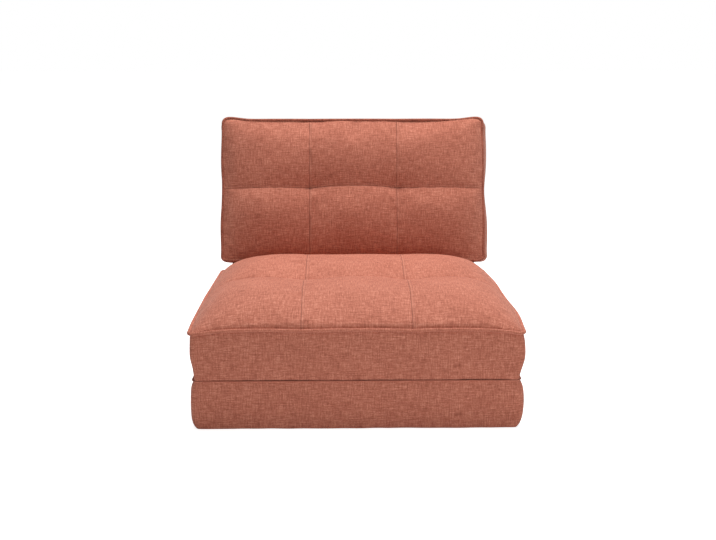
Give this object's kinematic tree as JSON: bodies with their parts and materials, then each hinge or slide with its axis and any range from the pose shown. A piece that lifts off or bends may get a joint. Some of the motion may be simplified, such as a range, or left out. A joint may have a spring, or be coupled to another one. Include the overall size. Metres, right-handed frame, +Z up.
{
  "type": "chair bed",
  "caption": "Armless upholstered chair bed: tufted piped seat over a fold-out foot layer, with a tufted back on step hinges that lies flat.",
  "frame": {"origin": "middle of the foot layer's underside, on the floor", "axes": "+Z up, +Y rearwards from the front edge to the back, +X to the right of someone facing the chair"},
  "size_m": [0.759, 0.908, 0.6527],
  "materials": {
    "cover_cloth": "plain-weave melange linen look, coral",
    "foam": "open-cell polyurethane foam",
    "black_steel": "black powder coat",
    "zinc_steel": "bright zinc plate",
    "spring_steel": "blued spring steel",
    "zip_nylon": "woven nylon zip tape with coil",
    "zip_metal": "antique nickel",
    "toggle_plastic": "white moulded plastic",
    "webbing": "black elastic webbing",
    "white_cord": "braided polyester cord"
  },
  "bodies": {
    "seat": {"seat_top_panel": "cover_cloth", "seat_border": "cover_cloth", "seat_base_panel": "cover_cloth", "seat_piping": "cover_cloth", "seat_piping_cord": "white_cord", "seat_foam": "foam", "seat_frame": "black_steel", "seat_crossbars": "black_steel", "seat_tuft_cords": "white_cord", "seat_tuft_toggles": "toggle_plastic", "left_hinge_bracket": "black_steel", "right_hinge_bracket": "black_steel", "bracket_bolts": "zinc_steel", "bracket_nuts": "zinc_steel", "left_pivot_rivet": "zinc_steel", "right_pivot_rivet": "zinc_steel", "left_pivot_washer": "zinc_steel", "right_pivot_washer": "zinc_steel", "left_detent_spring": "spring_steel", "right_detent_spring": "spring_steel", "spring_rivets": "zinc_steel", "front_fold_seam": "cover_cloth", "seat_zip_tape": "zip_nylon"},
    "foot": {"lower_top_panel": "cover_cloth", "lower_border": "cover_cloth", "lower_base_panel": "cover_cloth", "lower_foam": "foam", "lower_zip_tape": "zip_nylon"},
    "back": {"back_front_panel": "cover_cloth", "back_border": "cover_cloth", "back_rear_panel": "cover_cloth", "back_piping": "cover_cloth", "back_piping_cord": "white_cord", "back_foam": "foam", "back_frame": "black_steel", "back_webbing": "webbing", "back_tuft_cords": "white_cord", "back_tuft_toggles": "toggle_plastic", "left_back_arm": "black_steel", "right_back_arm": "black_steel", "arm_bolts": "zinc_steel", "arm_nuts": "zinc_steel", "back_zip_tape": "zip_nylon"},
    "seat_slider": {"seat_zip_slider": "zip_metal"},
    "seat_pull": {"seat_zip_pull": "zip_metal"},
    "lower_slider": {"lower_zip_slider": "zip_metal"},
    "lower_pull": {"lower_zip_pull": "zip_metal"},
    "back_slider": {"back_zip_slider": "zip_metal"},
    "back_pull": {"back_zip_pull": "zip_metal"}
  },
  "joints": [
    {"name": "back_recline", "type": "hinge", "parent": "seat", "child": "back", "pos_m": [0, 0.35, 0.238], "axis": [-1, 0, 0], "range_deg": [-15, 74], "deforming": ["left_detent_spring", "right_detent_spring"]},
    {"name": "front_fold", "type": "hinge", "parent": "seat", "child": "foot", "pos_m": [0, -0.3335, 0.114], "axis": [-1, 0, 0], "range_deg": [0, 180]},
    {"name": "seat_zip_slide", "type": "slide", "parent": "seat", "child": "seat_slider", "axis": [-1, 0, 0], "range_m": [0, 0.585]},
    {"name": "seat_zip_swing", "type": "hinge", "parent": "seat_slider", "child": "seat_pull", "pos_m": [0.2935, 0.3389, 0.1583], "axis": [0, 0, -1], "range_deg": [0, 180]},
    {"name": "lower_zip_slide", "type": "slide", "parent": "foot", "child": "lower_slider", "axis": [-1, 0, 0], "range_m": [0, 0.585]},
    {"name": "lower_zip_swing", "type": "hinge", "parent": "lower_slider", "child": "lower_pull", "pos_m": [0.2935, 0.3389, 0.057], "axis": [0, 0, -1], "range_deg": [0, 180]},
    {"name": "back_zip_slide", "type": "slide", "parent": "back", "child": "back_slider", "axis": [-1, 0, 0], "range_m": [0, 0.585]},
    {"name": "back_zip_swing", "type": "hinge", "parent": "back_slider", "child": "back_pull", "pos_m": [0.2935, 0.40477, 0.23311], "axis": [0, -0.9613, 0.2756], "range_deg": [0, 180]}
  ]
}
